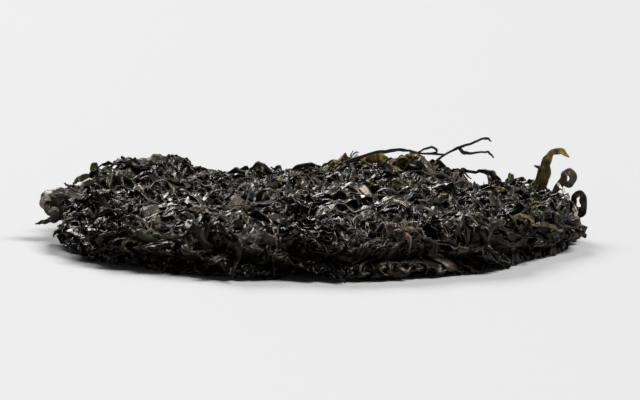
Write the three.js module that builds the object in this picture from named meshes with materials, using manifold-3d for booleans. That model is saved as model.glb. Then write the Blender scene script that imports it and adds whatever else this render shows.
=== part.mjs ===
// One round cake of dried laver, the loose, unpressed kind of nori sheet: wet seaweed fronds settled in a
// round frame and dried, so that they stick together as one matted disc with a frilled rim.
// Millimetres, +Z up. The cake lies on its flat underside, with the origin on its axis at that face, and the
// side that faces the viewer is at -Y.

import * as THREE from "three";
import { mergeVertices } from "three/addons/utils/BufferGeometryUtils.js";
import Module from "manifold-3d";

// Driving dimensions of the matted body.
const CAKE_RADIUS = 96;
const RIM_THICKNESS = 14;
const CROWN = 4; // the middle lies this much higher than the rim
const FLAT_SHARE = 0.84; // the flat underside's radius, as a share of the upper face's
const EDGE_CURL = 2; // outside it the underside lifts by this much, as an edge does in drying
// How many lobes the edge has all round: how far they stand out, as a share of the radius.
const EDGE_LOBES = { 2: 0.012, 3: 0.014, 5: 0.012, 8: 0.01, 13: 0.008, 21: 0.006 };
const LEDGE = 1.3; // how far the layers of fronds stand out of the rim by turns
const LAYER_WANDER = { climb: 11, sway: 2, swings: 7 }; // how the layers run up and down round the rim
const SWELL = 1.6; // height of the broad humps on the upper face
const SWELL_PITCH = 46; // distance from hump to hump
const CRAG = 0.9; // height of the crumpled relief between the fronds
const CRAG_PITCH = 25;
const RAISED_EDGE = { from: 2.2, to: 2.98, fade: 0.16, height: 5.5, reach: 30 }; // the thicker back left
const DIPS = [ // lower stretches of the back edge, the first of them a gap
  { middle: 63.5, halfWidth: 7, from: 0, to: 70, depth: 8 },
  { middle: -15.5, halfWidth: 8, from: 30, to: 80, depth: 3 },
];

// Driving dimensions of the fronds fused to the body. Angles are in radians.
const FROND_THICKNESS = 0.9; // a few papery fronds stuck together
const ROOT_DEPTH = 1.4; // a frond's end sinks this far into the body
const END_SHARE = 0.07; // a frond narrows as a half wave does, begun and ended by this share of it
const EDGE_LAG = 0.22; // share of a ruffle by which a frond's edges run before and after its middle
const FACE_FRONDS = {
  count: 14, length: [28, 46], width: [7, 12], bend: [-1.1, 1.1],
  ruffle: 0.8, waves: 1.8, crest: 2.2, tip: [0, 0],
};
const RIM_FRONDS = {
  count: 26, length: [24, 34], width: [7, 13], bend: [-0.5, 0.5],
  ruffle: 1.2, waves: 1.6, crest: 1.6, tip: [1.5, 5],
};
const HEM_FRONDS = {
  count: 20, length: [17, 28], width: [6, 10], bend: [-0.3, 0.3],
  ruffle: 1, waves: 1.3, crest: 1.2, tip: [1.5, 4.5],
};
const CLUMP_FRONDS = {
  count: 6, length: [15, 26], width: [4, 7], bend: [-0.8, 0.8],
  ruffle: 0.8, waves: 1.2, crest: 5, tip: [0, 0],
};
const FACE_MARGIN = 8; // the fronds on the upper face keep their middles this far in from its edge
const RIM_SET_BACK = [2, 9]; // the rim's fronds have theirs this far in
const RIM_SLANT = [0.5, 1.25]; // and turn this far from straight out
const HEM_DROP = [0.6, 1.25]; // the hem's fronds have theirs round the rim by this angle
const HEM_SLANT = [1.1, 1.45]; // and turn this far from straight out
const CLUMP_STRETCH = [0.98, 1.5]; // the clump at the back stands between these angles
const CLUMP_SET_BACK = [4, 12]; // its fronds have their middles this far in
const CLUMP_SWING = [-0.6, 0.6]; // and turn this far from straight along the rim
const UNEVEN_STEP = [-0.3, 0.3]; // shares of the step between neighbours round the rim
const STRAY_THICKNESS = 1;
const CURL_WIDTH = 4;
const LOOP_WIDTH = 2;
const STALK_WIDTH = 1.2;
const CRUMPLED_WIDTH = 7;

const RIM_CURVE = RIM_THICKNESS / 2; // radius of the rounded rim
const FACE_RADIUS = CAKE_RADIUS - RIM_CURVE; // the upper face ends here, and the rim curves over
const GOLDEN_ANGLE = Math.PI * (3 - Math.sqrt(5)); // spreads fronds evenly over the face
const FULL_TURN = 2 * Math.PI;

const laverMaterial = new THREE.MeshStandardMaterial({ color: 0x1b1714, roughness: 0.55, metalness: 0 });

const wasm = await Module();
wasm.setup();

// A repeatable draw from low to high for frond number n; each use has its own salt.
function draw(n, salt, [low, high]) {
  const wave = Math.sin(n * 12.9898 + salt * 78.233) * 43758.5453;
  return low + (high - low) * (wave - Math.floor(wave));
}

// How far the uneven edge stands out at an angle, as a share of the even radius.
function edgeShare(angle) {
  return Object.entries(EDGE_LOBES).reduce(
    (share, [lobes, depth]) => share + depth * Math.cos(lobes * angle + lobes * lobes),
    1,
  );
}

// Height of the thicker stretch of edge, which fades out at its ends and towards the middle of the face.
function raisedEdge(x, y) {
  const { from, to, fade, height, reach } = RAISED_EDGE;
  const { smoothstep } = THREE.MathUtils;
  const angle = Math.atan2(y, x);
  const ends = smoothstep(angle, from, from + fade) * (1 - smoothstep(angle, to - fade, to));
  return height * ends * smoothstep(Math.hypot(x, y), FACE_RADIUS - reach, FACE_RADIUS);
}

// Depth of the lower stretches of the back edge, which deepen from the face outwards.
function dips(x, y) {
  return DIPS.reduce((sum, { middle, halfWidth, from, to, depth }) => {
    const sideways = Math.exp(-(((x - middle) / halfWidth) ** 2));
    return sum + depth * sideways * THREE.MathUtils.smoothstep(y, from, to);
  }, 0);
}

// Height of the raised edge, the broad humps and the fine crags at a place seen from above, less the dips.
function unevenness(x, y) {
  const hump = FULL_TURN / SWELL_PITCH;
  const crag = FULL_TURN / CRAG_PITCH;
  const broad = Math.sin(x * hump + 0.7 * Math.sin(y * hump)) * Math.cos(y * hump * 0.8 + 1.3);
  const fine = Math.sin(x * crag + 1.9 * Math.sin(y * crag * 0.45)) * Math.sin(y * crag * 0.9 + 0.6);
  return SWELL * broad + CRAG * fine + raisedEdge(x, y) - dips(x, y);
}

// The place at (x, y), measured over the upper face and on round the rim, and raised off the surface.
function onCake(x, y, raised) {
  const run = Math.hypot(x, y);
  const angle = Math.atan2(y, x);
  const over = Math.max(0, run - FACE_RADIUS) / RIM_CURVE; // angle turned round the rim
  const outward = Math.sin(over);
  const upward = Math.cos(over);
  const face = Math.min(run, FACE_RADIUS);
  const crown = CROWN * (1 - (face / FACE_RADIUS) ** 2);
  const radius = (face + RIM_CURVE * outward) * edgeShare(angle) + raised * outward;
  const height = RIM_CURVE * (1 + upward) + crown + unevenness(x, y) * Math.max(0, upward) + raised * upward;
  return new THREE.Vector3(radius * Math.cos(angle), radius * Math.sin(angle), height);
}

// A three.js geometry as a solid for joining.
function solidOf(geometry) {
  const bare = geometry.clone();
  bare.deleteAttribute("normal");
  bare.deleteAttribute("uv");
  const merged = mergeVertices(bare);
  return new wasm.Manifold(
    new wasm.Mesh({
      numProp: 3,
      vertProperties: merged.attributes.position.array,
      triVerts: new Uint32Array(merged.index.array),
    }),
  );
}

// The matted body: a disc turned about +Z, then made uneven at its edge, down its rim and on its upper face.
function mattedBody() {
  const faceSteps = 9;
  const rimSteps = 6;
  const turns = 60;
  const { climb, sway, swings } = LAYER_WANDER;
  const profile = [new THREE.Vector2(0, 0), new THREE.Vector2(FACE_RADIUS * FLAT_SHARE, 0)];
  for (let i = rimSteps; i >= 0; i--) {
    const over = (Math.PI * i) / rimSteps;
    const lifted = i === rimSteps ? EDGE_CURL : 0;
    profile.push(
      new THREE.Vector2(FACE_RADIUS + RIM_CURVE * Math.sin(over), RIM_CURVE * (1 + Math.cos(over)) + lifted),
    );
  }
  for (let i = faceSteps - 1; i >= 0; i--) {
    const radius = (FACE_RADIUS * i) / faceSteps;
    profile.push(new THREE.Vector2(radius, RIM_THICKNESS + CROWN * (1 - (i / faceSteps) ** 2)));
  }
  const geometry = new THREE.LatheGeometry(profile, turns).rotateX(Math.PI / 2);
  const places = geometry.attributes.position;
  for (let i = 0; i < places.count; i++) {
    const { x, y, z } = new THREE.Vector3().fromBufferAttribute(places, i);
    const angle = Math.atan2(y, x);
    const onRim = THREE.MathUtils.smoothstep(Math.hypot(x, y), FACE_RADIUS, CAKE_RADIUS);
    const layer = climb * angle + sway * Math.sin(swings * angle) + z * (FULL_TURN / RIM_CURVE);
    const ledge = LEDGE * onRim * Math.sin(layer);
    const share = edgeShare(angle) + ledge / CAKE_RADIUS;
    const upper = THREE.MathUtils.smoothstep(z, RIM_CURVE, RIM_THICKNESS);
    places.setXYZ(i, x * share, y * share, z + unevenness(x, y) * upper);
  }
  return solidOf(geometry);
}

// One frond laid on the cake: a thin wavy strip with narrowed ends, its middle at (x, y) on the face or past
// it. It starts sunk in the body and arches off it. The far end sinks in again, or is free and stands off.
function frond({ x, y, heading, bend, length, width, ruffle, waves, phase, crest, tip }) {
  const geometry = new THREE.BoxGeometry(length, width, FROND_THICKNESS, 5, 2, 1);
  const places = geometry.attributes.position;
  for (let i = 0; i < places.count; i++) {
    const along = places.getX(i) / length + 0.5;
    const across = (2 * places.getY(i)) / width;
    const toward = heading + bend * (along - 0.5);
    const chord = heading + (bend * (along - 0.5)) / 2;
    const side = places.getY(i) * Math.sqrt(Math.sin(Math.PI * (END_SHARE + (1 - 2 * END_SHARE) * along)));
    const rooted = tip > 0 ? along / 2 : along; // a free frond is only the first half of an arch
    const wave = ruffle * Math.sin(FULL_TURN * (waves * along + phase + EDGE_LAG * across));
    const arch = (crest + ROOT_DEPTH + wave) * Math.sin(Math.PI * rooted);
    const place = onCake(
      x + places.getX(i) * Math.cos(chord) - side * Math.sin(toward),
      y + places.getX(i) * Math.sin(chord) + side * Math.cos(toward),
      arch - ROOT_DEPTH + tip * along * along + places.getZ(i),
    );
    places.setXYZ(i, place.x, place.y, place.z);
  }
  return solidOf(geometry);
}

// All the fronds of one kind. A rule says where frond n lies and how it is turned; the kind gives its sizes.
function fronds(kind, salt, laid) {
  return Array.from({ length: kind.count }, (_, n) => {
    const { run, angle, heading } = laid(n);
    return frond({
      x: run * Math.cos(angle),
      y: run * Math.sin(angle),
      heading,
      bend: draw(n, salt, kind.bend),
      length: draw(n, salt + 1, kind.length),
      width: draw(n, salt + 2, kind.width),
      phase: draw(n, salt + 3, [0, 1]),
      tip: draw(n, salt + 4, kind.tip),
      ruffle: kind.ruffle,
      waves: kind.waves,
      crest: kind.crest,
    });
  });
}

// Fronds that lie every way on the upper face, spread as the seeds of a sunflower are.
function faceFronds() {
  return fronds(FACE_FRONDS, 1, (n) => ({
    run: (FACE_RADIUS - FACE_MARGIN) * Math.sqrt((n + 0.5) / FACE_FRONDS.count),
    angle: n * GOLDEN_ANGLE,
    heading: draw(n, 6, [0, FULL_TURN]),
  }));
}

// Fronds that slant out over the rim all round, to the right and left by turns, their tips standing off it.
function rimFronds() {
  return fronds(RIM_FRONDS, 11, (n) => {
    const angle = (FULL_TURN * (n + draw(n, 16, UNEVEN_STEP))) / RIM_FRONDS.count;
    const slant = draw(n, 18, RIM_SLANT) * (n % 2 ? 1 : -1);
    return { run: FACE_RADIUS - draw(n, 17, RIM_SET_BACK), angle, heading: angle + slant };
  });
}

// Shorter fronds lower down, that run along the side of the rim, to the right and left by turns.
function hemFronds() {
  return fronds(HEM_FRONDS, 21, (n) => {
    const angle = (FULL_TURN * (n + draw(n, 26, UNEVEN_STEP))) / HEM_FRONDS.count;
    const slant = draw(n, 28, HEM_SLANT) * (n % 2 ? 1 : -1);
    return { run: FACE_RADIUS + RIM_CURVE * draw(n, 27, HEM_DROP), angle, heading: angle + slant };
  });
}

// A clump of fronds at the back that dried arched up off the face, most of them along the rim.
function clumpFronds() {
  return fronds(CLUMP_FRONDS, 31, (n) => {
    const angle = THREE.MathUtils.lerp(...CLUMP_STRETCH, (n + 0.5) / CLUMP_FRONDS.count);
    const heading = angle + Math.PI / 2 + draw(n, 38, CLUMP_SWING);
    return { run: FACE_RADIUS - draw(n, 37, CLUMP_SET_BACK), angle, heading };
  });
}

// One loose strip: a flat section carried along a curve, such as a curled frond or a stalk.
function stray(points, width) {
  const thin = STRAY_THICKNESS / 2;
  const half = width / 2;
  const corners = [[-thin, -half], [thin, -half], [thin, half], [-thin, half]];
  const section = new THREE.Shape(corners.map((corner) => new THREE.Vector2(...corner)));
  const path = new THREE.CatmullRomCurve3(points.map((point) => new THREE.Vector3(...point)));
  return solidOf(new THREE.ExtrudeGeometry(section, { steps: 12, extrudePath: path }));
}

// The few fronds that stand clear of the body: a curl and two loops at the right, a forked stalk at the back
// and a crumpled frond at the left.
function strayFronds() {
  const curl = stray([[80, 21, 13], [83, 20, 20], [86, 19, 27], [92, 18, 30], [95, 17, 27]], CURL_WIDTH);
  const upperLoop = stray(
    [[87, 6, 11], [91, 6, 20], [94, 5, 25], [97, 4, 23], [96, 3, 19], [90, 2, 13]],
    LOOP_WIDTH,
  );
  const lowerLoop = stray(
    [[89, -5, 9], [94, -6, 16], [98, -7, 17], [100, -8, 13], [96, -9, 8]],
    LOOP_WIDTH,
  );
  const stalk = stray(
    [[30, 77, 14], [40, 79, 17], [51, 80, 21], [58, 80, 24], [68, 81, 28], [70, 81, 26]],
    STALK_WIDTH,
  );
  const fork = stray([[55, 80, 22.5], [60, 79, 22.5], [68, 78.5, 22.5], [70.5, 78, 20.5]], STALK_WIDTH);
  const crumpled = stray(
    [[-88, 4, 8], [-97, 4, 9], [-103, 1, 12], [-99, -3, 16], [-89, -4, 13]],
    CRUMPLED_WIDTH,
  );
  return [curl, upperLoop, lowerLoop, stalk, fork, crumpled];
}

// Joins everything into one body. Keeping the largest shell drops loose scraps and fills any sealed hollow.
function joined(solids) {
  const shells = solids.reduce((sum, solid) => sum.add(solid)).decompose();
  return shells.reduce((largest, shell) => (shell.volume() > largest.volume() ? shell : largest));
}

// A solid back as a three.js geometry.
function geometryOf(solid) {
  const { vertProperties, triVerts } = solid.getMesh();
  const geometry = new THREE.BufferGeometry();
  geometry.setAttribute("position", new THREE.BufferAttribute(vertProperties, 3));
  geometry.setIndex(new THREE.BufferAttribute(triVerts, 1));
  geometry.computeVertexNormals();
  return geometry;
}

const allFronds = [faceFronds(), rimFronds(), hemFronds(), clumpFronds(), strayFronds()].flat();
const laverCake = new THREE.Mesh(geometryOf(joined([mattedBody(), ...allFronds])), laverMaterial);
laverCake.name = "laver_cake";

const part = new THREE.Group();
part.add(laverCake);

export default part;
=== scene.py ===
# A round cake of dried laver: a loose mat of shrivelled seaweed fronds that dried in a round frame.
# Shapes are worked out in millimetres on the cake's own surface and handed to Blender in metres.

import math

import bpy
import numpy as np
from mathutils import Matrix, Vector


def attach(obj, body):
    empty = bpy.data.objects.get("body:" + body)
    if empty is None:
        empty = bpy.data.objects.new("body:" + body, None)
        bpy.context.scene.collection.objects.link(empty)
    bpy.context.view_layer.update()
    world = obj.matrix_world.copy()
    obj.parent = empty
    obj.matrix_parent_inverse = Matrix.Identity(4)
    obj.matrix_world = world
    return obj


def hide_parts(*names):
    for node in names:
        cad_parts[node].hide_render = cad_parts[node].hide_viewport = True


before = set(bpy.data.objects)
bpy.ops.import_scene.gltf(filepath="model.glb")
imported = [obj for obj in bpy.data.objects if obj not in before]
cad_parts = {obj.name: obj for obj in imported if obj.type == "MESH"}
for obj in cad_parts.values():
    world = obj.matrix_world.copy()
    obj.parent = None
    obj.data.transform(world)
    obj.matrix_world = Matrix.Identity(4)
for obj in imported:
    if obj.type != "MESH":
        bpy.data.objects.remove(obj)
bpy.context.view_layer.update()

# The matted core.
# Wet fronds settle on one another in a round frame and dry into a springy felt, 14 mm thick at the rim.
# Only their own stickiness holds it. Its dark crumpled surface shows deep between the upper fronds.
MILLIMETRE = 0.001
FULL_TURN = 2 * math.pi
CAKE_RADIUS = 96.0
RIM_THICKNESS = 14.0
RIM_CURVE = RIM_THICKNESS / 2
FACE_RADIUS = CAKE_RADIUS - RIM_CURVE
CROWN = 4.0  # the middle lies this much higher than the rim
EDGE_LOBES = {2: 0.012, 3: 0.014, 5: 0.012, 8: 0.010, 13: 0.008, 21: 0.006}  # lobes: share of the radius
SWELL = 1.6  # height of the broad humps on the upper face
SWELL_PITCH = 46.0
CRAG = 0.9  # height of the crags on them
CRAG_PITCH = 25.0
RAISED_EDGE = {"start": 2.2, "end": 2.98, "fade": 0.16, "height": 5.5, "reach": 30.0}  # at the back left
DIPS = [  # lower stretches of the back edge, the first of them a gap
    {"middle": 63.5, "half_width": 7.0, "start": 0.0, "end": 70.0, "depth": 8.0},
    {"middle": -15.5, "half_width": 8.0, "start": 30.0, "end": 80.0, "depth": 3.0},
]
TUFTS = {17.0: 1.6, 8.0: 1.0}  # pitch of the smaller tufts and hollows: their height
TUFT_SEED = 71
LEDGE = 2.6  # how far the layers of fronds stand out of the rim and lie back by turns
LIE_BACK = 0.5  # share of that by which they lie back on the whole
LAYERS = 2  # layers in the rim's height, each one a slanting, wavering band round it
BANDS_ROUND = 11
WAVER_ROUND = 7
MOST_ROUND_THE_RIM = 2.5  # radians from the upper face to where the rim turns under
CORE_DEPTH = 3.4  # the core lies this far under the surface that the fronds lie on
CORE_TURNS = 200
CORE_FACE_RINGS = 50
CORE_RIM_RINGS = 20
CORE_UNDER_RINGS = 12
CORE_RELIEF = {9.0: 0.9, 4.0: 0.8}  # pitch of the crumples: their height
CORE_BASE = 0.8  # height of the core's underside
CORE_HUB = 1.2  # radius of the innermost ring
CORE_UNDER_SPAN = (0.94, 0.02)  # shares of the face's radius that the rings underneath span
CORE_SEED = 3
LAYOUT_SHARE = 0.48  # each side of the core takes up this much of the flat layout
WARM_SHINE = (1.0, 0.85, 0.69, 1)
MOTTLE_FINENESS = 330
SHINE_FINENESS = 60
SHINE_PATCHES = (0.38, 0.62)  # levels of the noise at which the shine is full and gone
CRINKLE_FINENESS = 620
WRINKLE_FINENESS = (0.12, 1.1, 1.0)  # along a frond, across it and from frond to frond


def edge_share(angle):
    """How far the uneven edge stands out at an angle, as a share of the even radius."""
    share = np.ones_like(angle)
    for lobes, depth in EDGE_LOBES.items():
        share = share + depth * np.cos(lobes * angle + lobes * lobes)
    return share


def eased(value, low, high):
    """A smooth rise from 0 to 1 as a value goes from low to high."""
    share = np.clip((value - low) / (high - low), 0, 1)
    return share * share * (3 - 2 * share)


def raised_edge(x, y):
    """Height of the thicker stretch of edge, which fades out at its ends and towards the middle."""
    angle = np.arctan2(y, x)
    start, end, fade = RAISED_EDGE["start"], RAISED_EDGE["end"], RAISED_EDGE["fade"]
    between = eased(angle, start, start + fade) * (1 - eased(angle, end - fade, end))
    outwards = eased(np.hypot(x, y), FACE_RADIUS - RAISED_EDGE["reach"], FACE_RADIUS)
    return RAISED_EDGE["height"] * between * outwards


def dips(x, y):
    """Depth of the lower stretches of the back edge, which deepen from the face outwards."""
    total = np.zeros_like(x)
    for dip in DIPS:
        sideways = np.exp(-((x - dip["middle"]) / dip["half_width"]) ** 2)
        total = total + dip["depth"] * sideways * eased(y, dip["start"], dip["end"])
    return total


def unevenness(x, y):
    """Height of the raised edge, humps and crags at a place seen from above, less the dips."""
    hump = FULL_TURN / SWELL_PITCH
    crag = FULL_TURN / CRAG_PITCH
    broad = np.sin(x * hump + 0.7 * np.sin(y * hump)) * np.cos(y * hump * 0.8 + 1.3)
    fine = np.sin(x * crag + 1.9 * np.sin(y * crag * 0.45)) * np.sin(y * crag * 0.9 + 0.6)
    return SWELL * broad + CRAG * fine + raised_edge(x, y) - dips(x, y)


def crumple(x, y, pitch, seed):
    """Smooth random heights from -1 to 1 that rise and fall over one pitch."""
    cells = 256
    heights = np.random.default_rng(seed).uniform(-1, 1, (cells, cells))
    column = np.floor(x / pitch).astype(int)
    row = np.floor(y / pitch).astype(int)
    across = eased(x / pitch - column, 0, 1)
    along = eased(y / pitch - row, 0, 1)
    here = column % cells
    beside = (column + 1) % cells
    beyond = (row + 1) % cells
    near = heights[here, row % cells] * (1 - across) + heights[beside, row % cells] * across
    far = heights[here, beyond] * (1 - across) + heights[beside, beyond] * across
    return near * (1 - along) + far * along


def crumpled(x, y, relief, seed):
    """Crumples of several pitches together."""
    total = 0
    for n, (pitch, height) in enumerate(relief.items()):
        total = total + height * crumple(x, y, pitch, seed + n)
    return total


def band_start(angle):
    """Where in its waves the layering of the rim starts, at its foot, at an angle round it."""
    return BANDS_ROUND * angle + 2 * np.sin(WAVER_ROUND * angle)


def ledges(angle, over):
    """How the layers stand out of the rim, or lie back, at an angle round it and an angle over it."""
    height = RIM_CURVE * (1 + np.cos(over))
    layer = band_start(angle) + LAYERS * FULL_TURN * height / RIM_THICKNESS
    return eased(np.sin(over), 0.2, 1.0) * (np.sin(layer) - LIE_BACK)


def on_cake(x, y, raised, ledge=LEDGE):
    """Places at (x, y), measured over the face and on round the rim, and raised off the tufted surface."""
    run = np.hypot(x, y)
    angle = np.arctan2(y, x)
    over = np.clip((run - FACE_RADIUS) / RIM_CURVE, 0, MOST_ROUND_THE_RIM)
    tucked_in = np.maximum(0, run - FACE_RADIUS - RIM_CURVE * MOST_ROUND_THE_RIM)
    outward = np.sin(over)
    upward = np.cos(over)
    face = np.minimum(run, FACE_RADIUS)
    crown = CROWN * (1 - (face / FACE_RADIUS) ** 2)
    stands_off = raised + crumpled(x, y, TUFTS, TUFT_SEED) + ledge * ledges(angle, over)
    radius = (face + RIM_CURVE * outward - tucked_in) * edge_share(angle) + stands_off * outward
    rise = unevenness(x, y) * np.maximum(0, upward) + stands_off * upward
    height = RIM_CURVE * (1 + upward) + crown + rise
    return np.stack([radius * np.cos(angle), radius * np.sin(angle), height], axis=-1)


def new_piece(name, corners, faces, atlas, lay, tints, finish):
    """A smooth mesh that rides on the cake. It carries a flat layout for baking and, at each corner, a tint
    and the lay: the way along, the way across and the frond's number, for wrinkles that run along it."""
    mesh = bpy.data.meshes.new(name)
    mesh.from_pydata(corners * MILLIMETRE, [], faces)
    mesh.polygons.foreach_set("use_smooth", np.ones(len(mesh.polygons), bool))
    layout = mesh.uv_layers.new(name="OFBake")
    layout.uv.foreach_set("vector", np.ravel(atlas).astype(np.float32))
    tint = mesh.attributes.new("tint", "FLOAT", "POINT")
    tint.data.foreach_set("value", tints.astype(np.float32))
    wrinkle_lay = mesh.attributes.new("lay", "FLOAT_VECTOR", "POINT")
    wrinkle_lay.data.foreach_set("vector", np.ravel(lay).astype(np.float32))
    mesh.materials.append(finish)
    piece = bpy.data.objects.new(name, mesh)
    bpy.context.scene.collection.objects.link(piece)
    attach(piece, "root")
    return piece


def feed(node, inputs):
    """Sets a node's inputs to values, or links them to what other nodes give."""
    for name, value in inputs.items():
        if isinstance(value, bpy.types.NodeSocket):
            node.id_data.links.new(value, node.inputs[name])
        else:
            node.inputs[name].default_value = value
    return node


def graded(level, shades):
    """The colour that a level picks from shades at their places on a scale."""
    scale = feed(level.node.id_data.nodes.new("ShaderNodeValToRGB"), {"Fac": level})
    stops = scale.color_ramp.elements
    stops.remove(stops[1])
    for n, (position, colour) in enumerate(shades.items()):
        stop = stops[0] if n == 0 else stops.new(position)
        stop.position = position
        stop.color = (*colour, 1)
    return scale.outputs["Color"]


def laver_finish(name, shades, roughness, wrinkle_depth, mottling=0.5, gloss=0.46):
    """Papery dried seaweed: mottled shades picked by each frond's tint, a patchy shine, fine wrinkles."""
    material = bpy.data.materials.new(name)
    material.use_nodes = True
    nodes = material.node_tree.nodes

    def noise(place, fineness, detail):
        inputs = {"Vector": place, "Scale": fineness, "Detail": detail}
        return feed(nodes.new("ShaderNodeTexNoise"), inputs).outputs["Fac"]

    def carried(kind, output):
        attribute = nodes.new("ShaderNodeAttribute")
        attribute.attribute_name = kind
        return attribute.outputs[output]

    def reckoned(kind, operation, *terms):
        result = nodes.new(kind)
        result.operation = operation
        return feed(result, dict(enumerate(terms))).outputs[0]

    place = nodes.new("ShaderNodeTexCoord").outputs["Object"]
    mottles = noise(place, MOTTLE_FINENESS, 3)
    level = reckoned("ShaderNodeMath", "MULTIPLY_ADD", mottles, mottling, carried("tint", "Fac"))
    level = reckoned("ShaderNodeMath", "MULTIPLY", level, 1 / (1 + mottling))
    shine = feed(nodes.new("ShaderNodeMapRange"), {
        "Value": noise(place, SHINE_FINENESS, 4),
        "From Min": SHINE_PATCHES[0],
        "From Max": SHINE_PATCHES[1],
        "To Min": roughness[0],
        "To Max": roughness[1],
    })
    lay = reckoned("ShaderNodeVectorMath", "MULTIPLY", carried("lay", "Vector"), WRINKLE_FINENESS)
    wrinkles = reckoned("ShaderNodeMath", "ADD", noise(lay, 1.0, 2), noise(place, CRINKLE_FINENESS, 2))
    relief = {"Strength": 1.0, "Distance": wrinkle_depth * MILLIMETRE, "Height": wrinkles}
    feed(nodes["Principled BSDF"], {
        "Base Color": graded(level, shades),
        "Roughness": shine.outputs["Result"],
        "Normal": feed(nodes.new("ShaderNodeBump"), relief).outputs["Normal"],
        "Specular IOR Level": gloss,
        "Specular Tint": WARM_SHINE,
    })
    return material


def matted_core():
    """Corners, faces and flat layout of the core: rings over the face, round the rim and underneath."""
    angles = np.arange(CORE_TURNS) * FULL_TURN / CORE_TURNS
    runs = np.concatenate([
        np.linspace(CORE_HUB, FACE_RADIUS, CORE_FACE_RINGS),
        FACE_RADIUS + RIM_CURVE * np.linspace(0.1, MOST_ROUND_THE_RIM, CORE_RIM_RINGS),
    ])
    x = runs[:, None] * np.cos(angles)
    y = runs[:, None] * np.sin(angles)
    upper = on_cake(x, y, crumpled(x, y, CORE_RELIEF, CORE_SEED) - CORE_DEPTH, ledge=0)
    under = FACE_RADIUS * np.linspace(*CORE_UNDER_SPAN, CORE_UNDER_RINGS)[:, None] * edge_share(angles)
    height = np.full_like(under, CORE_BASE)
    lower = np.stack([under * np.cos(angles), under * np.sin(angles), height], axis=-1)
    rings = np.concatenate([upper, lower])
    middles = [[0, 0, upper[0, :, 2].mean()], [0, 0, CORE_BASE]]
    corners = np.concatenate([rings.reshape(-1, 3), middles])

    ring = np.arange(len(rings) - 1)[:, None] * CORE_TURNS
    here = np.arange(CORE_TURNS)
    beside = (here + 1) % CORE_TURNS
    bands = [ring + here, ring + here + CORE_TURNS, ring + beside + CORE_TURNS, ring + beside]
    bands = np.stack(bands, axis=-1).reshape(-1, 4)
    last = (len(rings) - 1) * CORE_TURNS
    peak = len(corners) - 2
    fans = [[peak, a, b] for a, b in zip(here, beside)]
    fans += [[peak + 1, last + b, last + a] for a, b in zip(here, beside)]

    reach = 2 * (FACE_RADIUS + RIM_CURVE * MOST_ROUND_THE_RIM)
    flat = np.concatenate([
        np.stack([x, y], axis=-1).reshape(-1, 2) / reach * LAYOUT_SHARE + (0.25, 0.5),
        lower[..., :2].reshape(-1, 2) / reach * LAYOUT_SHARE + (0.75, 0.5),
        [[0.25, 0.5], [0.75, 0.5]],
    ])
    atlas = flat[np.concatenate([bands.ravel(), np.ravel(fans)])]
    return corners, bands.tolist() + fans, atlas


felt_finish = laver_finish(
    "laver_felt",
    {0.1: (0.003, 0.0025, 0.002), 0.6: (0.008, 0.006, 0.0045)},
    roughness=(0.45, 0.7), wrinkle_depth=0.6, gloss=0.1,
)
core_corners, core_faces, core_atlas = matted_core()
core_tints = np.zeros(len(core_corners))
core_piece = (core_corners, core_faces, core_atlas, core_corners, core_tints, felt_finish)
core = new_piece("matted_core", *core_piece)
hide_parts("laver_cake")

# The broad fronds on the upper face.
# Blades of laver 2 to 6 mm wide, thinner than paper, that shrank into lengthwise pleats as they dried. They
# lie over one another, stuck where they touch. The broadest are torn, and follow the rule of the solid.
FROND_THICKNESS = 0.3
ROOT_DEPTH = 1.4  # a frond's ends sink this far into the mat
END_SHARE = 0.07  # a frond narrows as a half wave does, begun and ended by this share of it
END_CURVE = 0.7  # power of that wave: a lower one gives blunter ends
WIDTH_WAVER = 0.4  # share by which its width varies
PLEAT_SHIFT = 0.9  # radians by which its pleats shift, half as often as it curls
TWIST_RATE = 0.6  # how often it twists for each curl
CREASE = 0.1  # radians of small random creases
GOLDEN_ANGLE = math.pi * (3 - math.sqrt(5))
FACE_MARGIN = 8.0
RULED_ON_FACE = 14  # the solid's own fronds on the face
DRIFT_PITCH = 38.0  # neighbours lie much the same way, and the way changes over this distance
DRIFT_TURN = 1.2 * math.pi
DRIFT_SEED = 5
DENT_PITCH = 2.8  # from dent to dent in a crinkled blade
DENT_SEED = 7
DENT_ROOM = 40  # distance between the places that two fronds take their dents from
RAG_PITCH = 4.5  # from notch to notch in its ragged edges
RAG_DEPTH = 0.35
RAG_SEED = 9
FRILL_PITCH = 3.8  # from wave to wave along its frilled edges
PATCH_PITCH = 20.0  # from browner to darker patches of fronds
PATCH_SEED = 13
PATCH_CONTRAST = 0.6
# Painted light and shade in the tints: lighter towards the front and darker towards the back, lighter on
# the tufts and darker in the hollows between them, and darker over the rim
PAINTED_LIGHT_AND_SHADE = {"front": 0.1, "tufts": 0.1, "rim": -0.35}
TINT_RISE = 1.5  # first shape value of the spread of tints
BROAD_SEED = 11
BROAD_COUNT = 190
BROAD_GRID = (20, 8)  # steps along each frond and strips across it
STRIPS_OF_BROADEST = 3
STRIP_WIDTHS = (0.7, 1.3)  # shares of an even strip's width
STRAND_LENGTHS = (0.6, 1.1)  # shares of the frayed frond's length
STRAND_SPREAD = {"gap": 0.4, "turn": 0.15, "crest": 0.5}
ROW_SHARE = 0.96  # of its room in the flat layout that a frond takes up along, and across
COLUMN_SHARE = 0.9
ROOMS_ON_SHELF = 16  # times as many fronds above one another in that layout as side by side
NUMBERS_APART = 7.3  # between two fronds' numbers, so that their wrinkles differ


def draw(n, salt, low, high):
    """The solid's own repeatable draw for frond number n."""
    wave = np.sin(n * 12.9898 + salt * 78.233) * 43758.5453
    return low + (high - low) * (wave - np.floor(wave))


def placed(run, angle, heading):
    """Places so far from the middle, at angles round it, and the headings of the fronds there."""
    return {"x": run * np.cos(angle), "y": run * np.sin(angle), "heading": heading}


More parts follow.
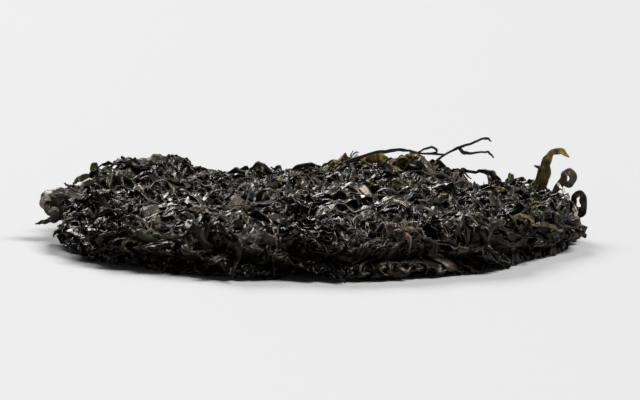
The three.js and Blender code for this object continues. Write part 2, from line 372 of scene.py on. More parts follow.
def ruled(n, salt, crest, bend, length, width, tip):
    """Sizes of the solid's own fronds, by its rule from its ranges, and how such broad blades shrivel."""
    return {
        "crest": crest,
        "bend": draw(n, salt, *bend),
        "length": draw(n, salt + 1, *length),
        "width": draw(n, salt + 2, *width),
        "tip": draw(n, salt + 4, *tip),
        "wander": 0.4,
        "curl_pitch": 14.0,
        "ripple": 0.5,
        "crinkle": 0.6,
        "pleats": 2.4,
        "fold": 1.1,
        "twist": 1.0,
        "skew": 1.0,
    }


def picked(draws, count, **ranges):
    """One draw from each range for each of many fronds."""
    return {name: draws.uniform(low, high, count) for name, (low, high) in ranges.items()}


def strewn(draws, count, reach, scatter, stray_turn, **ranges):
    """Fronds with sizes from the ranges, set out to a reach as evenly as a sunflower's seeds. Each is
    shifted a little and headed with the drift of the fronds round it, but for a stray turn."""
    n = np.arange(count)
    run = reach * np.sqrt((n + 0.5) / count) + draws.uniform(-scatter, scatter, count)
    angle = n * GOLDEN_ANGLE + draws.uniform(-0.1, 0.1, count)
    x = run * np.cos(angle)
    y = run * np.sin(angle)
    heading = DRIFT_TURN * crumple(x, y, DRIFT_PITCH, DRIFT_SEED) + draws.normal(0, stray_turn, count)
    return {"x": x, "y": y, "heading": heading} | picked(draws, count, **ranges)


def waver(draws, count, steps, waves):
    """Smooth random waves along each of many fronds, mostly from -1 to 1."""
    along = np.linspace(0, 1, steps + 1)
    total = np.zeros((count, steps + 1))
    for octave, share in ((1, 0.8), (2, 0.35)):
        phase = draws.uniform(0, 1, (count, 1))
        stretch = draws.uniform(0.8, 1.2, (count, 1))
        total += share * np.sin(FULL_TURN * (waves * octave * stretch * along + phase))
    return total


def shrivelled(draws, laid, grid):
    """Crumpled sheets of points for fronds laid on the cake: a row of strips for each step along a frond.
    They lie flat on it, but for a tilt."""
    steps, strips = grid
    count = len(laid["x"])
    along = np.linspace(0, 1, steps + 1)
    laid = {"tilt": 0.0} | laid
    sized = {key: np.broadcast_to(value, count)[:, None] for key, value in laid.items()}
    curls = sized["length"] / sized["curl_pitch"]
    turned = sized["bend"] * (along - 0.5) + sized["wander"] * waver(draws, count, steps, curls)
    heading = sized["heading"] + turned
    stride = sized["length"] / steps
    east = np.cumsum(np.cos(heading) * stride, axis=1)
    north = np.cumsum(np.sin(heading) * stride, axis=1)
    east += sized["x"] - east[:, [steps // 2]]
    north += sized["y"] - north[:, [steps // 2]]

    narrowed = np.sin(math.pi * (END_SHARE + (1 - 2 * END_SHARE) * along ** sized["skew"])) ** END_CURVE
    spread = sized["width"] * narrowed * (1 + WIDTH_WAVER * waver(draws, count, steps, curls))
    strip = spread[..., None] / strips * np.ones(strips)
    middle = (np.arange(strips) + 0.5) / strips * 2 - 1
    shifted = draws.uniform(0, FULL_TURN, (count, 1)) + PLEAT_SHIFT * waver(draws, count, steps, curls / 2)
    slope = (sized["twist"] * waver(draws, count, steps, curls * TWIST_RATE))[..., None]
    pleat = math.pi * sized["pleats"][..., None] * middle + shifted[..., None]
    slope = slope + sized["fold"][..., None] * np.sin(pleat)
    tilt = sized["tilt"][..., None]
    slope = slope + tilt + draws.normal(0, CREASE, slope.shape)
    start = np.zeros((count, steps + 1, 1))
    aside = np.concatenate([start, np.cumsum(np.cos(slope) * strip, axis=2)], axis=2)
    aloft = np.concatenate([start, np.cumsum(np.sin(slope) * strip, axis=2)], axis=2)
    aside -= aside.mean(axis=2, keepdims=True)
    aloft -= aloft.mean(axis=2, keepdims=True)
    way = (sized["length"] * along + DENT_ROOM * np.arange(count)[:, None])[..., None]
    outward = np.linspace(-1, 1, strips + 1)
    frill = outward**2 * np.sin(FULL_TURN * way / FRILL_PITCH + 2 * np.sign(outward))
    across = spread[..., None] / 2 * outward
    dent = sized["crinkle"][..., None] * (crumple(way + 0 * across, across, DENT_PITCH, DENT_SEED) + frill)
    each_edge = np.sign(across) * 10 * RAG_PITCH
    ragged = 1 + RAG_DEPTH * crumple(way + 0 * across, each_edge, RAG_PITCH, RAG_SEED)
    aside = aside * ragged - dent * np.sin(tilt)
    aloft = aloft * ragged + dent * np.cos(tilt)

    rooted = np.where(sized["tip"] > 0, along / 2, along)
    arch = (sized["crest"] + ROOT_DEPTH) * np.sin(math.pi * rooted) - ROOT_DEPTH
    arch = arch + sized["tip"] * along * along + sized["ripple"] * waver(draws, count, steps, curls)
    x = east[..., None] - aside * np.sin(heading)[..., None]
    y = north[..., None] + aside * np.cos(heading)[..., None]
    places = on_cake(x, y, arch[..., None] + aloft)
    places[..., 2] = np.maximum(places[..., 2], FROND_THICKNESS)
    return places


def shrivelled_together(draws, kinds, grid):
    """The sheets of several kinds of fronds, one kind after another."""
    return np.concatenate([shrivelled(draws, laid, grid) for laid in kinds])


def thin_solids(sheets, thickness):
    """Closes each sheet of points into a thin solid: its corners, faces, layout in rows, and lay."""
    count, rows, columns, _ = sheets.shape
    size = 2 * columns
    normal = np.cross(np.gradient(sheets, axis=1), np.gradient(sheets, axis=2))
    normal /= np.linalg.norm(normal, axis=-1, keepdims=True) + 1e-9
    front = sheets + normal * thickness / 2
    back = sheets - normal * thickness / 2
    corners = np.concatenate([front, back[:, :, ::-1]], axis=2).reshape(-1, 3)

    stride = np.linalg.norm(np.diff(sheets, axis=1), axis=-1).mean(axis=(1, 2))[:, None, None]
    strip = np.linalg.norm(np.diff(sheets, axis=2), axis=-1).mean(axis=(1, 2))[:, None, None]
    number = np.arange(count)[:, None, None] * NUMBERS_APART
    column = np.concatenate([np.arange(columns), np.arange(columns)[::-1]])
    lay = np.broadcast_arrays(stride * np.arange(rows)[:, None], strip * column, number)
    lay = np.stack(lay, axis=-1).reshape(-1, 3)

    first = np.arange(count)[:, None, None] * rows * size
    row = np.arange(rows - 1)[None, :, None]
    here = np.arange(size)[None, None, :]
    beside = (here + 1) % size
    near = first + row * size
    far = near + size
    sides = np.stack([near + here, far + here, far + beside, near + beside], axis=-1).reshape(-1, 4)
    edge = np.arange(columns - 1)[None, :]
    start = np.arange(count)[:, None] * rows * size
    end = start + (rows - 1) * size
    behind = size - 1 - edge
    start_caps = np.stack([start + edge, start + edge + 1, start + behind - 1, start + behind], axis=-1)
    end_caps = np.stack([end + edge, end + behind, end + behind - 1, end + edge + 1], axis=-1)
    caps = np.concatenate([start_caps.reshape(-1, 4), end_caps.reshape(-1, 4)])

    shelves = max(1, math.ceil(math.sqrt(count / ROOMS_ON_SHELF)))
    tiers = math.ceil(count / shelves)
    shelf = (np.arange(count) % shelves)[:, None, None, None]
    tier = (np.arange(count) // shelves)[:, None, None, None]
    u = (shelf + (row[..., None] + np.array([0, 1, 1, 0])) / (rows - 1) * ROW_SHARE) / shelves
    v = (tier + (here[..., None] + np.array([0, 0, 1, 1])) / size * COLUMN_SHARE) / tiers
    sides_flat = np.stack(np.broadcast_arrays(u, v), axis=-1).reshape(-1, 2)
    corner_flat = np.zeros((len(corners), 2))
    corner_flat[sides.ravel()] = sides_flat
    atlas = np.concatenate([sides_flat, corner_flat[caps.ravel()]])
    return corners, np.concatenate([sides, caps]), atlas, lay


def patchy_tints_with_painted_light(draws, sheets, darkness, lightest=1.0):
    """A tint for each frond, most of them dark. Neighbours are alike, so that patches of brown fronds form
    among darker ones.
    Light and shade are painted in as well: all are a little lighter towards the front and on the tufts,
    darker towards the back and in the hollows, and darker where they hang over the rim."""
    middle = sheets.mean(axis=(1, 2))
    x = middle[:, 0]
    y = middle[:, 1]
    patch = PATCH_CONTRAST * crumple(x, y, PATCH_PITCH, PATCH_SEED)
    painted_light = PAINTED_LIGHT_AND_SHADE["front"] * -y / CAKE_RADIUS
    painted_light = painted_light + PAINTED_LIGHT_AND_SHADE["tufts"] * crumpled(x, y, TUFTS, TUFT_SEED)
    painted_light = painted_light + PAINTED_LIGHT_AND_SHADE["rim"] * eased(np.hypot(x, y), FACE_RADIUS - 2, CAKE_RADIUS)
    return lightest * np.clip(draws.beta(TINT_RISE, darkness, len(sheets)) + patch + painted_light, 0, 1)


def frond_piece(name, sheets, tints, finish, thickness=FROND_THICKNESS):
    """One piece of many thin fronds, with one tint for each, or one for each step along each."""
    corners, faces, atlas, lay = thin_solids(sheets, thickness)
    corner_tints = np.repeat(tints, len(corners) // np.size(tints))
    return new_piece(name, corners, faces.tolist(), atlas, lay, corner_tints, finish)


def frayed(draws, laid, strands, gap):
    """Splits each frond into strands side by side, a gap apart and not quite even."""
    fronds = len(laid["x"])
    count = fronds * strands
    split = {name: np.repeat(np.broadcast_to(value, fronds), strands) for name, value in laid.items()}
    gap = np.repeat(np.broadcast_to(gap, fronds), strands)
    place = np.tile(np.arange(strands) - (strands - 1) / 2, fronds)
    aside = (place + draws.normal(0, STRAND_SPREAD["gap"], count)) * gap
    split["x"] = split["x"] - aside * np.sin(split["heading"])
    split["y"] = split["y"] + aside * np.cos(split["heading"])
    split["heading"] = split["heading"] + draws.normal(0, STRAND_SPREAD["turn"], count)
    split["length"] = split["length"] * draws.uniform(*STRAND_LENGTHS, count)
    split["crest"] = split["crest"] + draws.normal(0, STRAND_SPREAD["crest"], count)
    return split


def split_up(draws, laid):
    """The solid's broadest fronds as they really are: torn lengthwise into strips that overlap."""
    strips = frayed(draws, laid, STRIPS_OF_BROADEST, laid["width"] / STRIPS_OF_BROADEST)
    shares = draws.uniform(*STRIP_WIDTHS, len(strips["width"]))
    strips["width"] = strips["width"] / STRIPS_OF_BROADEST * shares
    return strips


def ruled_face_fronds():
    """The broadest fronds, where the solid has them."""
    n = np.arange(RULED_ON_FACE)
    run = (FACE_RADIUS - FACE_MARGIN) * np.sqrt((n + 0.5) / RULED_ON_FACE)
    place = placed(run, n * GOLDEN_ANGLE, draw(n, 6, 0, FULL_TURN))
    return place | ruled(n, 1, crest=2.2, bend=(-1.1, 1.1), length=(28, 46), width=(7, 12), tip=(0, 0))


broad_draws = np.random.default_rng(BROAD_SEED)
broad_laid = strewn(
    broad_draws, BROAD_COUNT, reach=FACE_RADIUS + 2, scatter=4, stray_turn=0.7,
    bend=(-1.8, 1.8), wander=(0.2, 0.8), curl_pitch=(10, 20), length=(14, 34), width=(2.4, 6.2),
    crest=(-0.8, 1.4), tip=(0, 0), ripple=(0.1, 0.5), crinkle=(0.5, 1.0), pleats=(1.2, 2.6),
    fold=(0.4, 0.9), twist=(0.2, 0.8), skew=(0.6, 1.7),
)
broad_kinds = [split_up(broad_draws, ruled_face_fronds()), broad_laid]
broad_sheets = shrivelled_together(broad_draws, broad_kinds, BROAD_GRID)
broad_tints = patchy_tints_with_painted_light(broad_draws, broad_sheets, darkness=3.0, lightest=0.7)
bed_finish = laver_finish(
    "bed_laver",
    {0.1: (0.0025, 0.002, 0.0016), 0.4: (0.0125, 0.0096, 0.0071),
     0.7: (0.045, 0.034, 0.0245), 0.95: (0.1, 0.075, 0.052)},
    roughness=(0.24, 0.55), wrinkle_depth=0.25, gloss=0.12,
)
frond_piece("broad_fronds", broad_sheets, broad_tints, bed_finish)

# The ribbons.
# Narrow blades 1.3 to 3.6 mm wide that dried folded along their length and twisted. They cover most of the
# upper face and run on down the rim. Some stand up as small arches. The crests of their folds glint.
RIBBON_SEED = 17
RIBBON_COUNT = 300
ARCH_COUNT = 60
RIBBON_GRID = (20, 4)
BROWN_CLUMP = {"x": 26.0, "y": 80.0, "across": 9.0, "deep": 3.0, "count": 24}  # at the back
BROWN_CLUMP_TINTS = (0.3, 0.9)


def gather(draws, clump, **ranges):
    """Fronds with sizes from the ranges, close round the middle of a clump."""
    laid = picked(draws, clump["count"], **ranges)
    laid["x"] = clump["x"] + draws.normal(0, clump["across"], clump["count"])
    laid["y"] = clump["y"] + draws.normal(0, clump["deep"], clump["count"])
    return laid


ribbon_draws = np.random.default_rng(RIBBON_SEED)
ribbon_laid = strewn(
    ribbon_draws, RIBBON_COUNT, reach=FACE_RADIUS + 8, scatter=3, stray_turn=0.6,
    bend=(-2.2, 2.2), wander=(0.4, 1.0), curl_pitch=(8, 17), length=(12, 36), width=(1.3, 3.6),
    crest=(-0.2, 2.0), tip=(0, 0), ripple=(0.1, 0.5), crinkle=(0.2, 0.6), pleats=(0.5, 1.3),
    fold=(0.4, 0.9), twist=(0.4, 1.3), skew=(0.6, 1.7),
)
arch_laid = strewn(
    ribbon_draws, ARCH_COUNT, reach=FACE_RADIUS, scatter=6, stray_turn=1.0,
    bend=(-1.6, 1.6), wander=(0.1, 0.4), curl_pitch=(14, 28), length=(9, 18), width=(1.0, 2.6),
    crest=(2.4, 5.0), tip=(0, 0), ripple=(0.0, 0.3), crinkle=(0.1, 0.4), pleats=(0.6, 1.6),
    fold=(0.5, 1.2), twist=(0.2, 1.0), skew=(0.6, 1.7),
)
clump_laid = gather(
    ribbon_draws, BROWN_CLUMP,
    heading=(-1.0, 1.0), bend=(-2.4, 2.4), wander=(0.4, 1.0), curl_pitch=(7, 14), length=(8, 17),
    width=(1.2, 3.2), crest=(1.5, 5.5), tip=(0, 0), ripple=(0.2, 0.6), crinkle=(0.2, 0.6),
    pleats=(0.6, 1.6), fold=(0.5, 1.2), twist=(0.5, 1.5), skew=(0.6, 1.7),
)
ribbon_kinds = [ribbon_laid, arch_laid, clump_laid]
ribbon_sheets = shrivelled_together(ribbon_draws, ribbon_kinds, RIBBON_GRID)
dark_finish = laver_finish(
    "dark_laver",
    {0.1: (0.003, 0.0024, 0.0019), 0.4: (0.019, 0.0147, 0.0108),
     0.7: (0.072, 0.055, 0.04), 0.94: (0.15, 0.113, 0.08),
     # the palest, cream stop, for the pale strays; on the crumpled frond's edge and fleck it is partly
     # painted highlight
     1.0: (0.3, 0.26, 0.21)},
    roughness=(0.22, 0.55), wrinkle_depth=0.25,
)
ribbon_tints = patchy_tints_with_painted_light(ribbon_draws, ribbon_sheets, darkness=2.8, lightest=0.8)
ribbon_tints[-BROWN_CLUMP["count"]:] = ribbon_draws.uniform(*BROWN_CLUMP_TINTS, BROWN_CLUMP["count"])
frond_piece("ribbons", ribbon_sheets, ribbon_tints, dark_finish)

# The shreds.
# Fronds that frayed and shrivelled to threads 0.5 to 1.6 mm wide. They lie in loose bundles, side by side,
# on and between the others all over the upper face and down the rim.
SHRED_THICKNESS = 0.35
SHRED_SEED = 23
BUNDLE_COUNT = 80
SHREDS_IN_BUNDLE = 5
SHRED_GAP = 1.3
SHRED_GRID = (16, 2)
BROWN_TUFT = {"x": 28.0, "y": -82.0, "across": 3.0, "deep": 3.0, "count": 60}  # at the front, frizzy
BROWN_TUFT_TINTS = (0.7, 1.1)

shred_draws = np.random.default_rng(SHRED_SEED)
bundle_laid = strewn(
    shred_draws, BUNDLE_COUNT, reach=FACE_RADIUS + 10, scatter=4, stray_turn=0.6,
    bend=(-2.4, 2.4), wander=(0.3, 0.9), curl_pitch=(7, 15), length=(10, 28), width=(0.6, 1.6),
    crest=(0.6, 2.4), tip=(0, 0), ripple=(0.1, 0.5), crinkle=(0.1, 0.5), pleats=(0.3, 0.9),
    fold=(0.3, 1.0), twist=(1.0, 3.0), skew=(0.7, 1.4),
)
shred_laid = frayed(shred_draws, bundle_laid, SHREDS_IN_BUNDLE, SHRED_GAP)
tuft_laid = gather(
    shred_draws, BROWN_TUFT,
    heading=(-1.2, 1.2), bend=(-3.0, 3.0), wander=(0.5, 1.2), curl_pitch=(4, 9), length=(5, 12),
    width=(0.5, 1.2), crest=(2.0, 5.5), tip=(0, 0), ripple=(0.2, 0.6), crinkle=(0.1, 0.4),
    pleats=(0.3, 0.9), fold=(0.3, 0.8), twist=(0.5, 1.5), skew=(0.7, 1.4),
)
shred_kinds = [shred_laid, tuft_laid]
shred_sheets = shrivelled_together(shred_draws, shred_kinds, SHRED_GRID)
shred_tints = patchy_tints_with_painted_light(shred_draws, shred_sheets, darkness=2.4, lightest=0.85)
shred_tints[-BROWN_TUFT["count"]:] = shred_draws.uniform(*BROWN_TUFT_TINTS, BROWN_TUFT["count"])
frond_piece("shreds", shred_sheets, shred_tints, dark_finish, SHRED_THICKNESS)

# The scraps.
# Torn bits of blade 6 to 15 mm long that curled up tightly as they dried. They lie on the others and in the
# hollows between them, stuck by one end, and thick as knobs on the rim at the right.
SCRAP_SEED = 29
SCRAP_COUNT = 300
SCRAP_GRID = (12, 4)
KNOB_COUNT = 60
KNOB_STRETCH = (-0.42, 0.06)  # angles between which the knobs lie

scrap_draws = np.random.default_rng(SCRAP_SEED)
scrap_laid = strewn(
    scrap_draws, SCRAP_COUNT, reach=FACE_RADIUS + 6, scatter=5, stray_turn=1.5,
    bend=(-3.4, 3.4), wander=(0.3, 1.0), curl_pitch=(6, 12), length=(7, 15), width=(1.8, 4.6),
    crest=(0.6, 2.8), tip=(0, 0), ripple=(0.1, 0.5), crinkle=(0.5, 1.0), pleats=(0.8, 2.0),
    fold=(0.4, 0.9), twist=(0.4, 1.3), skew=(0.6, 1.7),
)
knob_angle = scrap_draws.uniform(*KNOB_STRETCH, KNOB_COUNT)
knob_run = FACE_RADIUS + scrap_draws.uniform(-2, 2 * RIM_CURVE, KNOB_COUNT)
knob_laid = {"x": knob_run * np.cos(knob_angle), "y": knob_run * np.sin(knob_angle)}
knob_laid |= picked(
    scrap_draws, KNOB_COUNT,
    heading=(0, FULL_TURN), bend=(-3.4, 3.4), wander=(0.3, 1.0), curl_pitch=(6, 12), length=(6, 13),
    width=(1.4, 3.4), crest=(1.6, 4.2), tip=(0, 0), ripple=(0.1, 0.5), crinkle=(0.3, 0.8),
    pleats=(0.8, 2.0), fold=(0.4, 0.9), twist=(0.4, 1.3), skew=(0.6, 1.7),
)
scrap_kinds = [scrap_laid, knob_laid]
scrap_sheets = shrivelled_together(scrap_draws, scrap_kinds, SCRAP_GRID)
scrap_tints = patchy_tints_with_painted_light(scrap_draws, scrap_sheets, darkness=2.4, lightest=0.75)
frond_piece("scraps", scrap_sheets, scrap_tints, dark_finish)

# The rim's broad fronds.
# Pleated blades 2 to 7 mm wide at the frame's edge. They run along the rim or slant out over it, frilled
# and torn at their edges, and their free tips curl away from it. The largest follow the rule of the solid.
RIM_SEED = 37
RIM_COUNT = 110
RIM_GRID = (22, 6)
RULED_ON_RIM = 26  # the solid's own fronds over the rim's edge, and lower down along its side
RULED_ON_SIDE = 20
OFF_CREST = 1.0  # how far fronds stray off the crest of a layer, in millimetres
LOWEST_ON_RIM = 1.5
OVER_THE_RIM = (-4.0, 2.6 * RIM_CURVE)  # how far past the face's edge the other fronds lie
OUTWARD_TURN = 0.9


def ruled_rim_fronds(count, salt, past_edge, slant, **sizes):
    """The solid's fronds round the rim, so far past the face's edge, slanting right and left by turns."""
    n = np.arange(count)
    angle = FULL_TURN * (n + draw(n, salt + 5, -0.3, 0.3)) / count
    run = FACE_RADIUS + draw(n, salt + 6, *past_edge)
    heading = angle + draw(n, salt + 7, *slant) * np.where(n % 2, 1, -1)
    return placed(run, angle, heading) | ruled(n, salt, **sizes)


def round_the_rim(draws, count, share_along, stray_turn, **ranges):
    """Fronds with sizes from the ranges, all round the rim. A share lies on the crests of its layers and
    heads along them. The rest is strewn from the face's edge to the underside and heads out over it."""
    angle = FULL_TURN * (np.arange(count) + draws.uniform(-0.4, 0.4, count)) / count
    in_layer = draws.random(count) < share_along
    layer = RIM_THICKNESS / LAYERS
    crest = (0.25 - band_start(angle) / FULL_TURN) % 1 * layer + layer * draws.integers(0, LAYERS, count)
    crest = np.clip(crest + draws.normal(0, OFF_CREST, count), LOWEST_ON_RIM, RIM_THICKNESS - 0.1)
    crest_run = RIM_CURVE * np.arccos(crest / RIM_CURVE - 1)
    run = FACE_RADIUS + np.where(in_layer, crest_run, draws.uniform(*OVER_THE_RIM, count))
    bands = BANDS_ROUND + 2 * WAVER_ROUND * np.cos(WAVER_ROUND * angle)
    band_slant = bands / FULL_TURN * layer / CAKE_RADIUS
    along_rim = math.pi / 2 * draws.choice([-1, 1], count) - band_slant
    along_rim = along_rim + draws.normal(0, stray_turn, count)
    outwards = draws.uniform(-OUTWARD_TURN, OUTWARD_TURN, count)
    heading = angle + np.where(in_layer, along_rim, outwards)
    return placed(run, angle, heading) | picked(draws, count, **ranges)


rim_draws = np.random.default_rng(RIM_SEED)
rim_laid = round_the_rim(
    rim_draws, RIM_COUNT, share_along=0.88, stray_turn=0.25,
    bend=(-0.9, 0.9), wander=(0.1, 0.5), curl_pitch=(10, 20), length=(14, 34), width=(3.0, 7.0),
    crest=(-0.8, 0.6), tip=(-1.5, 1.5), ripple=(0.2, 0.6), crinkle=(0.4, 1.0), pleats=(1.0, 2.2),
    fold=(0.2, 0.7), twist=(0.2, 0.7), tilt=(1.0, 2.1), skew=(0.6, 1.7),
)
upper_ruled = ruled_rim_fronds(
    RULED_ON_RIM, salt=11, past_edge=(-2, -9), slant=(0.5, 1.25), crest=1.6,
    bend=(-0.5, 0.5), length=(24, 34), width=(7, 13), tip=(1.5, 5),
)
lower_ruled = ruled_rim_fronds(
    RULED_ON_SIDE, salt=21, past_edge=(0.6 * RIM_CURVE, 1.25 * RIM_CURVE), slant=(1.1, 1.45), crest=1.2,
    bend=(-0.3, 0.3), length=(17, 28), width=(6, 10), tip=(1.5, 4.5),
)
rim_sheets = np.concatenate([
    shrivelled(rim_draws, split_up(rim_draws, upper_ruled), RIM_GRID),
    shrivelled(rim_draws, split_up(rim_draws, lower_ruled), RIM_GRID),
    shrivelled(rim_draws, rim_laid, RIM_GRID),
])
# The rim's finish is a darker, duller copy of the laver's: its darker shades are painted shade over the rim
rim_finish_with_painted_shade = laver_finish(
    "rim_laver_painted_shade",
    {0.1: (0.0025, 0.002, 0.0016), 0.4: (0.0085, 0.0064, 0.0048),
     0.7: (0.023, 0.0165, 0.0112), 0.95: (0.07, 0.05, 0.032)},
    roughness=(0.17, 0.45), wrinkle_depth=0.3, gloss=0.28,
)
# Darker tints for the rim's broad fronds, a painted shade
rim_tints = patchy_tints_with_painted_light(rim_draws, rim_sheets, darkness=7.0, lightest=0.62)
frond_piece("rim_fronds", rim_sheets, rim_tints, rim_finish_with_painted_shade)

# The rim's ribbons.
# Long strips 1 to 5 mm wide that the frame's wall combed along the rim, with short curled ends that stick
# out between them. They are stuck to the broad fronds and to one another.
HEM_SEED = 43
HEM_COUNT = 220
CURL_COUNT = 50
HEM_GRID = (24, 3)

hem_draws = np.random.default_rng(HEM_SEED)
hem_laid = round_the_rim(
    hem_draws, HEM_COUNT, share_along=0.94, stray_turn=0.18,
    bend=(-0.7, 0.7), wander=(0.1, 0.5), curl_pitch=(9, 18), length=(14, 46), width=(1.6, 5.0),
    crest=(-0.4, 1.2), tip=(0, 0), ripple=(0.1, 0.6), crinkle=(0.3, 0.9), pleats=(0.5, 1.4),
    fold=(0.2, 0.8), twist=(0.3, 0.9), tilt=(0.9, 2.2), skew=(0.7, 1.4),
)
curl_laid = round_the_rim(
    hem_draws, CURL_COUNT, share_along=0.5, stray_turn=0.5,
    bend=(-2.6, 2.6), wander=(0.2, 0.6), curl_pitch=(10, 20), length=(8, 18), width=(0.8, 3.0),
    crest=(0.6, 2.0), tip=(0.5, 3.0), ripple=(0.2, 0.6), crinkle=(0.2, 0.6), pleats=(0.5, 1.4),
    fold=(0.5, 1.3), twist=(0.4, 1.6), skew=(0.7, 1.4),
)
hem_sheets = shrivelled_together(hem_draws, [hem_laid, curl_laid], HEM_GRID)
# Darker tints for the rim's ribbons, a painted shade
hem_tints = patchy_tints_with_painted_light(hem_draws, hem_sheets, darkness=6.0, lightest=0.8)
frond_piece("rim_ribbons", hem_sheets, hem_tints, rim_finish_with_painted_shade)

# The glossy fronds.
# Thicker, smoother blades that lay uppermost as the cake dried. They shrank into sharp pleats, stuck to the
# face by their ends, and lie in patches where the crests of the pleats catch the light.
GLOSSY_SEED = 67
GLOSSY_GRID = (20, 8)
GLOSSY_TINTS = (0.3, 0.75)
GLOSSY_PATCHES = [  # x, y, spread across, spread in depth, number of fronds and height of each patch
    (8, -32, 4, 9, 18, 5.2),
    (23, -38, 3.5, 5, 12, 3.2),
    (-79, 14, 4, 8, 6, 2.2),
    (-32, 50, 1.5, 3, 3, 3.4),
    (-52, -43, 2.5, 5, 5, 3.0),
    (-44, -31, 3, 3, 4, 3.0),
    (-26, -56, 1.5, 3, 3, 3.0),
    (46, 4, 2, 4, 4, 3.4),
]


def in_clumps(draws, clumps, least, **ranges):
    """Fronds with sizes from the ranges in clumps, whose lowest ones have the least share of the height."""
    laid = {"x": [], "y": [], "crest": []}
    for x, y, across, deep, count, height in clumps:
        laid["x"].append(x + draws.normal(0, across, count))
        laid["y"].append(y + draws.normal(0, deep, count))
        laid["crest"].append(height * draws.uniform(least, 1.2, count))
    laid = {name: np.concatenate(values) for name, values in laid.items()}
    return laid | picked(draws, len(laid["x"]), **ranges)


glossy_draws = np.random.default_rng(GLOSSY_SEED)
glossy_laid = in_clumps(
    glossy_draws, GLOSSY_PATCHES, least=0.6,
    heading=(-0.6, 0.6), bend=(-1.0, 1.0), wander=(0.2, 0.5), curl_pitch=(10, 20), length=(10, 19),
    width=(3.0, 6.0), tip=(0, 0), ripple=(0.1, 0.4), crinkle=(0.1, 0.4), pleats=(1.8, 3.2),
    fold=(0.5, 1.0), twist=(0.2, 0.6), skew=(0.6, 1.7),
)
glossy_sheets = shrivelled(glossy_draws, glossy_laid, GLOSSY_GRID)
glossy_finish = laver_finish(
    "glossy_laver",
    {0.1: (0.004, 0.0035, 0.003), 0.5: (0.034, 0.029, 0.024),
     0.95: (0.16, 0.14, 0.118)},
    roughness=(0.2, 0.4), wrinkle_depth=0.2, gloss=0.75,
)
glossy_tints = glossy_draws.uniform(*GLOSSY_TINTS, len(glossy_sheets))
frond_piece("glossy_fronds", glossy_sheets, glossy_tints, glossy_finish)

# The fronds of the underside.
# The first fronds to settle, 3 to 9 mm wide, pressed flat by the weight of the wet mat on what it dried on.
# They show only when the cake is turned over, and the cake rests on them.
UNDER_SEED = 41
UNDER_COUNT = 300
UNDER_GRID = (10, 3)
UNDER_REACH = 84.0
UNDER_SPACE = (0.2, 1.1)  # heights between which these fronds lie
UNDER_PRESS = 0.16  # share of their crumples that is left


def pressed_flat(sheets):
    """Lays sheets from the upper face on the underside, with their crumples pressed into a thin layer."""
    surface = on_cake(sheets[..., 0], sheets[..., 1], 0.0)[..., 2]
    crumples = np.clip((sheets[..., 2] - surface) * UNDER_PRESS, -0.5, 0.5) + 0.5
    heights = UNDER_SPACE[0] + (UNDER_SPACE[1] - UNDER_SPACE[0]) * crumples
    return np.stack([sheets[..., 0], sheets[..., 1], heights], axis=-1)


under_draws = np.random.default_rng(UNDER_SEED)
under_laid = strewn(
    under_draws, UNDER_COUNT, reach=UNDER_REACH, scatter=3, stray_turn=0.9,
    bend=(-2.0, 2.0), wander=(0.2, 0.7), curl_pitch=(14, 26), length=(16, 34), width=(3.0, 9.0),
    crest=(-0.6, 1.6), tip=(0, 0), ripple=(0.3, 0.8), crinkle=(0.2, 0.6), pleats=(0.6, 1.4),
    fold=(0.2, 0.6), twist=(0.1, 0.3), skew=(0.6, 1.7),
)
under_sheets = pressed_flat(shrivelled(under_draws, under_laid, UNDER_GRID))
under_tints = under_draws.beta(TINT_RISE, 3.0, UNDER_COUNT)
frond_piece("underside_fronds", under_sheets, under_tints, bed_finish)

# The olive fronds.
# Younger blades that kept some yellow, and some green at the left. They stand in a loose clump at the back,
# where the largest follow the rule of the solid's own, and in twos and threes on the face and at the rim.
OLIVE_SEED = 53
OLIVE_GRID = (22, 4)
OLIVE_CLUMPS = [  # x, y, spread across, spread in depth, number of fronds and height of each clump
    (17, 80, 4, 2, 10, 3.2),
    (29, 79, 4, 2, 14, 6.5),
    (41, 77, 3.5, 1.75, 9, 4.5),
    (54, 72, 2.5, 1.25, 6, 4.0),
    (80, -30, 4.5, 2.25, 9, 2.4),
    (-84, 30, 2.5, 1.25, 5, 3.4),
    (-64, -68, 2.5, 1.25, 6, 1.6),
    (30, -84, 4, 2, 7, 2.2),
    (68, 34, 3.5, 1.75, 5, 2.6),
    (73, 56, 4, 2, 7, 3.0),
    (-14, 48, 2, 1, 3, 2.4),
    (-60, 60, 3.5, 1.75, 3, 2.2),
    (-92, -30, 3, 1.5, 4, 2.0),
    (-31, -69, 2.5, 1.25, 4, 2.0),
    (8, 0, 35, 17.5, 16, 2.2),
]
RULED_IN_CLUMP = 6
CLUMP_START, CLUMP_END = 0.98, 1.5  # angles between which the solid's clump stands


def ruled_clump_fronds():
    """The solid's fronds that arch up at the back, most of them along the rim."""
    n = np.arange(RULED_IN_CLUMP)
    angle = CLUMP_START + (CLUMP_END - CLUMP_START) * (n + 0.5) / RULED_IN_CLUMP
    run = FACE_RADIUS - draw(n, 37, 4, 12)
    heading = angle + math.pi / 2 + draw(n, 38, -0.6, 0.6)
    sizes = ruled(n, 31, crest=5.0, bend=(-0.8, 0.8), length=(15, 26), width=(4, 7), tip=(0, 0))
    return placed(run, angle, heading) | sizes


def olive_and_green(names, sheets, tints, thickness):
    """Two pieces of olive fronds: the yellow ones, and the green ones at the left."""
    at_left = sheets.mean(axis=(1, 2))[:, 0] < 0
    frond_piece(names[0], sheets[~at_left], tints[~at_left], olive_finish, thickness)
    frond_piece(names[1], sheets[at_left], tints[at_left], green_finish, thickness)


